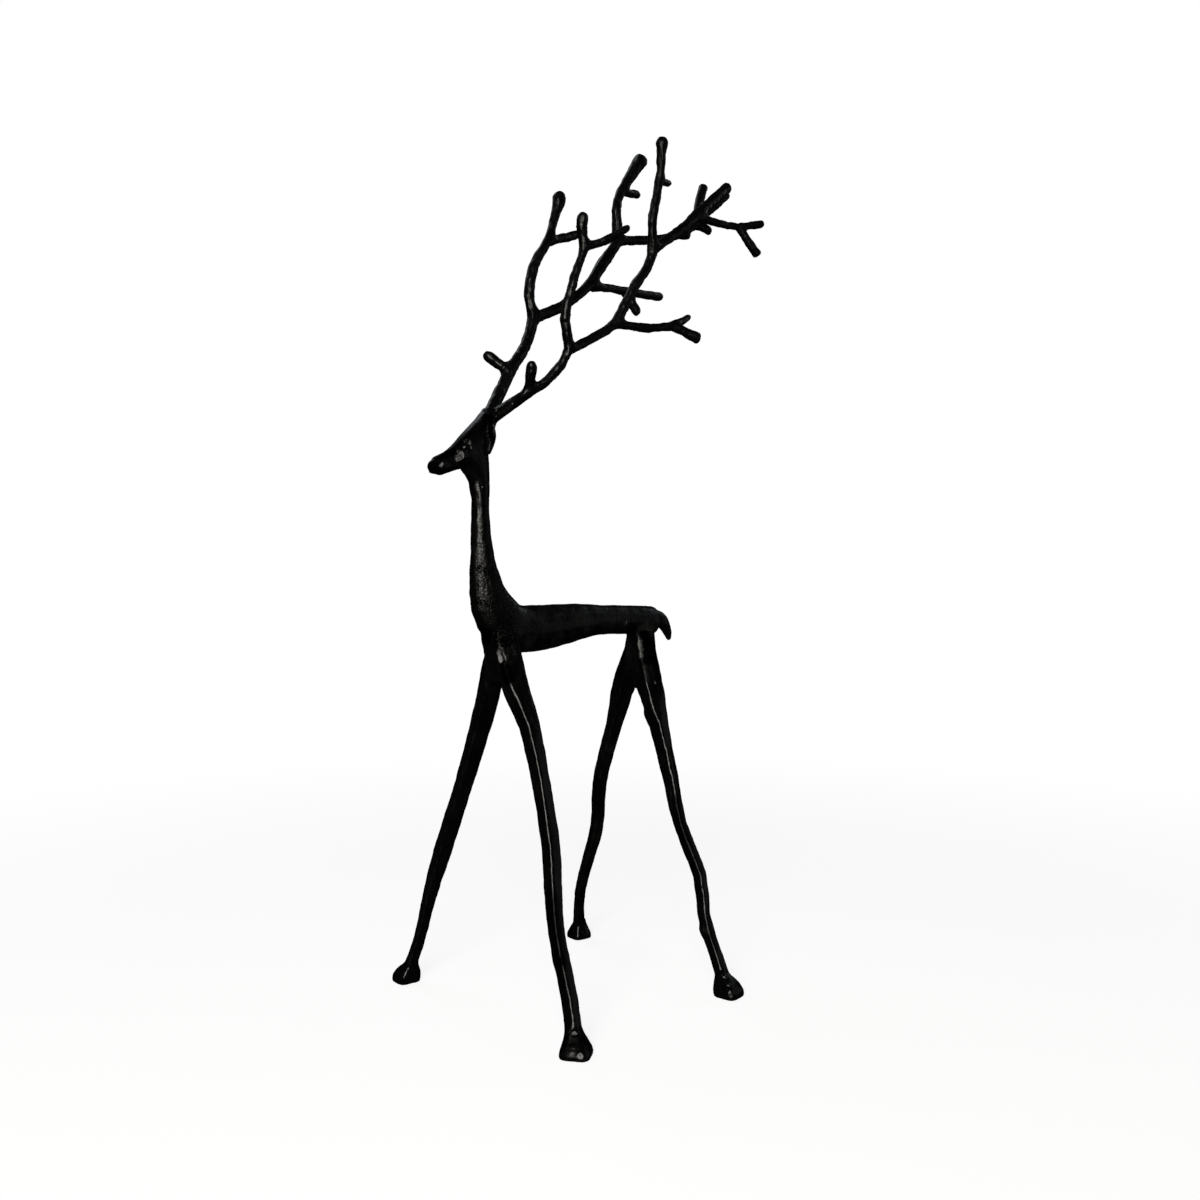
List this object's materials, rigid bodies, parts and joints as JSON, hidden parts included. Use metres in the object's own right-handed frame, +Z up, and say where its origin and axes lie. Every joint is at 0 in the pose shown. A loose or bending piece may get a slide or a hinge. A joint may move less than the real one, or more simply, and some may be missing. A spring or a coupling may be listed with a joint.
{
  "type": "metal reindeer figure",
  "caption": "Standing cast-metal reindeer figure with a slender neck, splayed legs, small hooves and a pair of tall branching antlers that sweep back.",
  "frame": {"origin": "centre of the figure's bounding box, on the floor plane that its four soles stand on", "axes": "+Z up, -Y the way the animal faces, +X towards its left side"},
  "size_m": [0.1626, 0.2432, 0.5112],
  "materials": {
    "black_cast_metal": "black semi-gloss over a sand-cast surface"
  },
  "bodies": {
    "root": {"reindeer": "black_cast_metal"}
  },
  "joints": []
}
